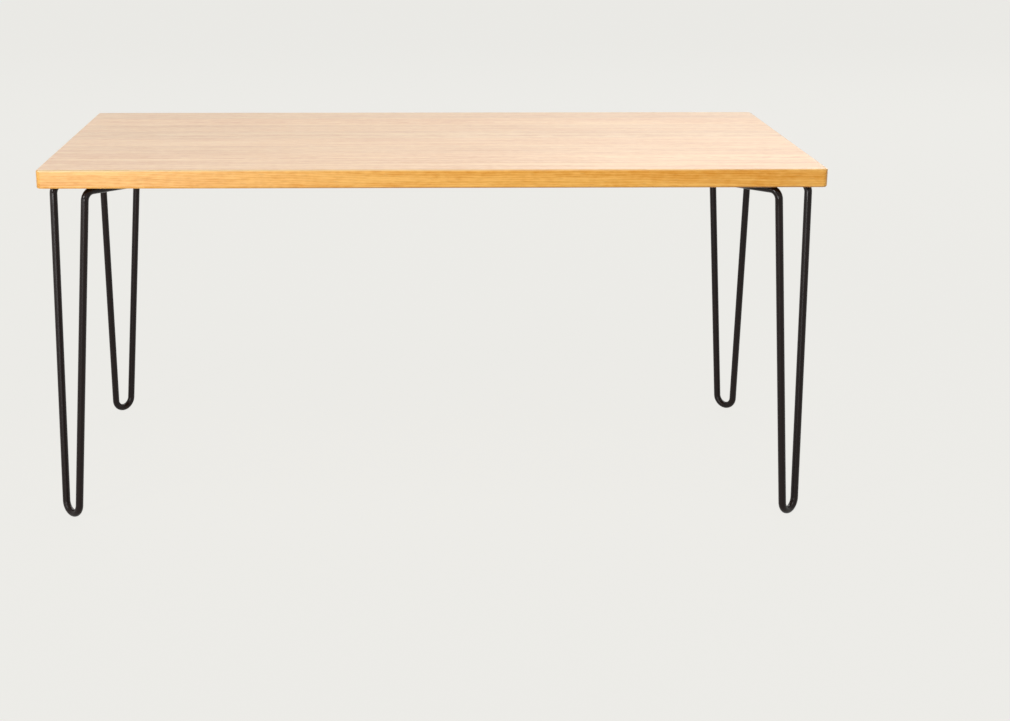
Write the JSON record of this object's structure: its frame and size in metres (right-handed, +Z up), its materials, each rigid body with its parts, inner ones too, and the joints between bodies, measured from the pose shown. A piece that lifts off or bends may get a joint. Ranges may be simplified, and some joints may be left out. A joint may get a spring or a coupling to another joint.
{
  "type": "dining table",
  "caption": "Rectangular dining table: a solid timber board top with rounded edges on splayed hairpin legs bent from black round rod.",
  "frame": {"origin": "on the floor, under the middle of the top", "axes": "+X along the table's length, to the right as seen from the front; +Y from the front to the back; +Z up"},
  "size_m": [1.6, 0.8, 0.755],
  "materials": {
    "board_timber": "satin clear lacquer over honey-coloured solid timber",
    "black_rod": "satin black powder coat on steel bar",
    "black_plate": "satin black powder coat on steel plate and welds",
    "black_screw": "black oxide",
    "insert_brass": "plain machined brass"
  },
  "bodies": {
    "root": {"top_board_1": "board_timber", "top_board_2": "board_timber", "top_board_3": "board_timber", "top_board_4": "board_timber", "top_board_5": "board_timber", "top_board_6": "board_timber", "top_board_7": "board_timber", "top_board_8": "board_timber", "hairpin_back_left": "black_rod", "hairpin_back_right": "black_rod", "hairpin_front_left": "black_rod", "hairpin_front_right": "black_rod", "mounting_plate_back_left": "black_plate", "mounting_plate_back_right": "black_plate", "mounting_plate_front_left": "black_plate", "mounting_plate_front_right": "black_plate", "screw_back_left_1": "black_screw", "screw_back_left_2": "black_screw", "screw_back_left_3": "black_screw", "screw_back_left_4": "black_screw", "screw_back_right_1": "black_screw", "screw_back_right_2": "black_screw", "screw_back_right_3": "black_screw", "screw_back_right_4": "black_screw", "screw_front_left_1": "black_screw", "screw_front_left_2": "black_screw", "screw_front_left_3": "black_screw", "screw_front_left_4": "black_screw", "screw_front_right_1": "black_screw", "screw_front_right_2": "black_screw", "screw_front_right_3": "black_screw", "screw_front_right_4": "black_screw", "insert_back_left_1": "insert_brass", "insert_back_left_2": "insert_brass", "insert_back_left_3": "insert_brass", "insert_back_left_4": "insert_brass", "insert_back_right_1": "insert_brass", "insert_back_right_2": "insert_brass", "insert_back_right_3": "insert_brass", "insert_back_right_4": "insert_brass", "insert_front_left_1": "insert_brass", "insert_front_left_2": "insert_brass", "insert_front_left_3": "insert_brass", "insert_front_left_4": "insert_brass", "insert_front_right_1": "insert_brass", "insert_front_right_2": "insert_brass", "insert_front_right_3": "insert_brass", "insert_front_right_4": "insert_brass"}
  },
  "joints": []
}
